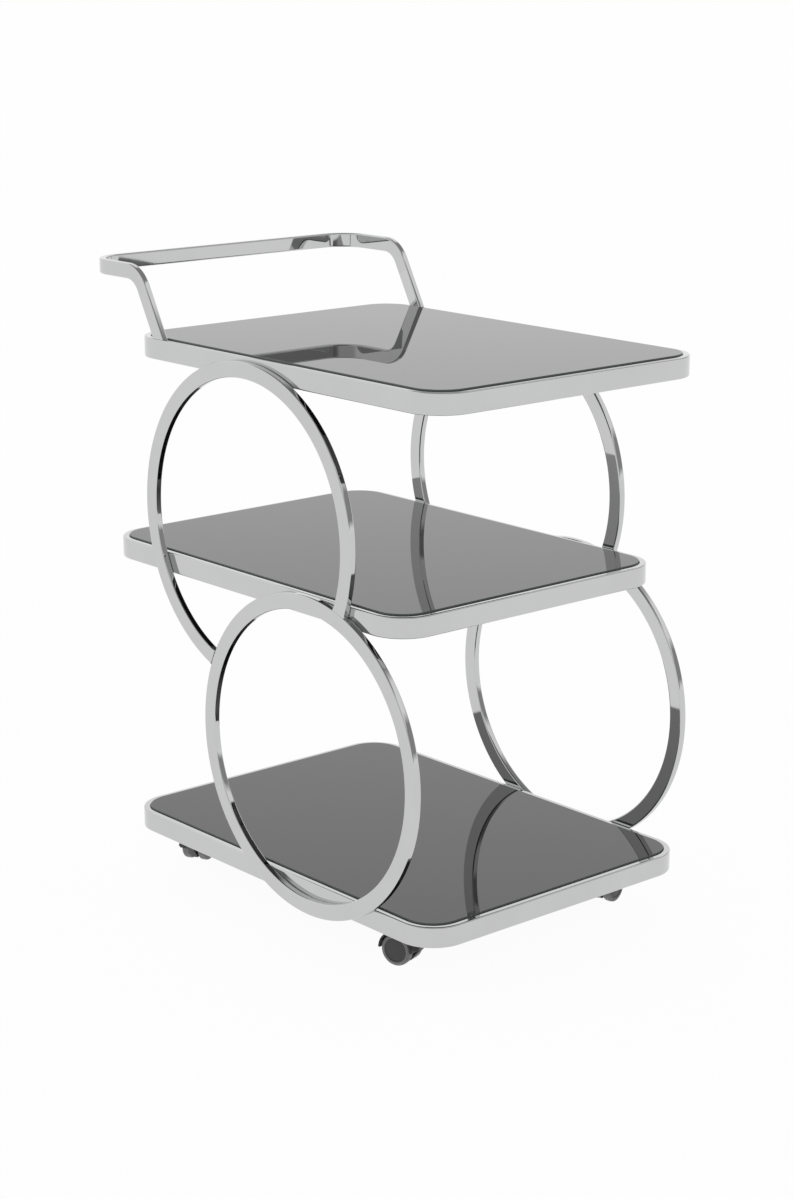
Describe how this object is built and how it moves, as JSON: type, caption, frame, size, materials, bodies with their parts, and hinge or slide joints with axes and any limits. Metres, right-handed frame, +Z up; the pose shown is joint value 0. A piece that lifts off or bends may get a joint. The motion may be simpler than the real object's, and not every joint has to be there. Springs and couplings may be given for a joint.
{
  "type": "spa trolley cart",
  "caption": "Wheeled serving trolley with black glass shelves in chromed tube frames, joined at the sides by large rings, with a raised push handle and swivelling twin-wheel castors.",
  "frame": {"origin": "on the floor, at the middle of the footprint", "axes": "+Z up, +X along the cart away from the push handle, +Y to the left of the person who pushes"},
  "size_m": [0.672, 0.45, 0.804],
  "materials": {
    "polished_chrome": "mirror-polished chrome plate on steel tube",
    "black_glass": "black-backed tempered glass, polished",
    "zinc_steel": "bright zinc plate",
    "clear_silicone": "translucent silicone, satin",
    "black_nylon": "moulded black nylon, fine grain",
    "grey_tread": "soft grey polyurethane tread",
    "hub_plastic": "dark grey moulded nylon"
  },
  "bodies": {
    "cart": {"top_frame": "polished_chrome", "middle_frame": "polished_chrome", "bottom_frame": "polished_chrome", "right_upper_ring": "polished_chrome", "right_lower_ring": "polished_chrome", "left_upper_ring": "polished_chrome", "left_lower_ring": "polished_chrome", "push_handle": "polished_chrome", "top_glass": "black_glass", "top_glass_tabs": "zinc_steel", "top_glass_pads": "clear_silicone", "middle_glass": "black_glass", "middle_glass_tabs": "zinc_steel", "middle_glass_pads": "clear_silicone", "bottom_glass": "black_glass", "bottom_glass_tabs": "zinc_steel", "bottom_glass_pads": "clear_silicone", "ring_screws": "zinc_steel", "ring_washers": "zinc_steel", "front_caster_rail": "zinc_steel", "rear_caster_rail": "zinc_steel", "caster_sockets": "zinc_steel", "front_right_stem": "zinc_steel", "front_left_stem": "zinc_steel", "rear_right_stem": "zinc_steel", "rear_left_stem": "zinc_steel"},
    "front_right_swivel": {"front_right_hood": "black_nylon", "front_right_axle": "zinc_steel"},
    "front_right_outer_wheel": {"front_right_outer_tyre": "grey_tread", "front_right_outer_hub": "hub_plastic"},
    "front_right_inner_wheel": {"front_right_inner_tyre": "grey_tread", "front_right_inner_hub": "hub_plastic"},
    "front_left_swivel": {"front_left_hood": "black_nylon", "front_left_axle": "zinc_steel"},
    "front_left_outer_wheel": {"front_left_outer_tyre": "grey_tread", "front_left_outer_hub": "hub_plastic"},
    "front_left_inner_wheel": {"front_left_inner_tyre": "grey_tread", "front_left_inner_hub": "hub_plastic"},
    "rear_right_swivel": {"rear_right_hood": "black_nylon", "rear_right_axle": "zinc_steel"},
    "rear_right_outer_wheel": {"rear_right_outer_tyre": "grey_tread", "rear_right_outer_hub": "hub_plastic"},
    "rear_right_inner_wheel": {"rear_right_inner_tyre": "grey_tread", "rear_right_inner_hub": "hub_plastic"},
    "rear_left_swivel": {"rear_left_hood": "black_nylon", "rear_left_axle": "zinc_steel"},
    "rear_left_outer_wheel": {"rear_left_outer_tyre": "grey_tread", "rear_left_outer_hub": "hub_plastic"},
    "rear_left_inner_wheel": {"rear_left_inner_tyre": "grey_tread", "rear_left_inner_hub": "hub_plastic"}
  },
  "joints": [
    {"name": "front_right_swivel_turn", "type": "hinge", "parent": "cart", "child": "front_right_swivel", "pos_m": [0.234, -0.152, 0.05], "axis": [0, 0, 1], "continuous": true},
    {"name": "front_right_outer_wheel_spin", "type": "hinge", "parent": "front_right_swivel", "child": "front_right_outer_wheel", "pos_m": [0.21296, -0.15843, 0.02], "axis": [-0.2924, 0.9563, 0], "continuous": true},
    {"name": "front_right_inner_wheel_spin", "type": "hinge", "parent": "front_right_swivel", "child": "front_right_inner_wheel", "pos_m": [0.21296, -0.15843, 0.02], "axis": [-0.2924, 0.9563, 0], "continuous": true},
    {"name": "front_left_swivel_turn", "type": "hinge", "parent": "cart", "child": "front_left_swivel", "pos_m": [0.234, 0.152, 0.05], "axis": [0, 0, 1], "continuous": true},
    {"name": "front_left_outer_wheel_spin", "type": "hinge", "parent": "front_left_swivel", "child": "front_left_outer_wheel", "pos_m": [0.22868, 0.17335, 0.02], "axis": [0.9703, 0.2419, 0], "continuous": true},
    {"name": "front_left_inner_wheel_spin", "type": "hinge", "parent": "front_left_swivel", "child": "front_left_inner_wheel", "pos_m": [0.22868, 0.17335, 0.02], "axis": [0.9703, 0.2419, 0], "continuous": true},
    {"name": "rear_right_swivel_turn", "type": "hinge", "parent": "cart", "child": "rear_right_swivel", "pos_m": [-0.222, -0.152, 0.05], "axis": [0, 0, 1], "continuous": true},
    {"name": "rear_right_outer_wheel_spin", "type": "hinge", "parent": "rear_right_swivel", "child": "rear_right_outer_wheel", "pos_m": [-0.23233, -0.13257, 0.02], "axis": [0.8829, 0.4695, 0], "continuous": true},
    {"name": "rear_right_inner_wheel_spin", "type": "hinge", "parent": "rear_right_swivel", "child": "rear_right_inner_wheel", "pos_m": [-0.23233, -0.13257, 0.02], "axis": [0.8829, 0.4695, 0], "continuous": true},
    {"name": "rear_left_swivel_turn", "type": "hinge", "parent": "cart", "child": "rear_left_swivel", "pos_m": [-0.222, 0.152, 0.05], "axis": [0, 0, 1], "continuous": true},
    {"name": "rear_left_outer_wheel_spin", "type": "hinge", "parent": "rear_left_swivel", "child": "rear_left_outer_wheel", "pos_m": [-0.24352, 0.15657, 0.02], "axis": [0.2079, 0.9781, 0], "continuous": true},
    {"name": "rear_left_inner_wheel_spin", "type": "hinge", "parent": "rear_left_swivel", "child": "rear_left_inner_wheel", "pos_m": [-0.24352, 0.15657, 0.02], "axis": [0.2079, 0.9781, 0], "continuous": true}
  ]
}
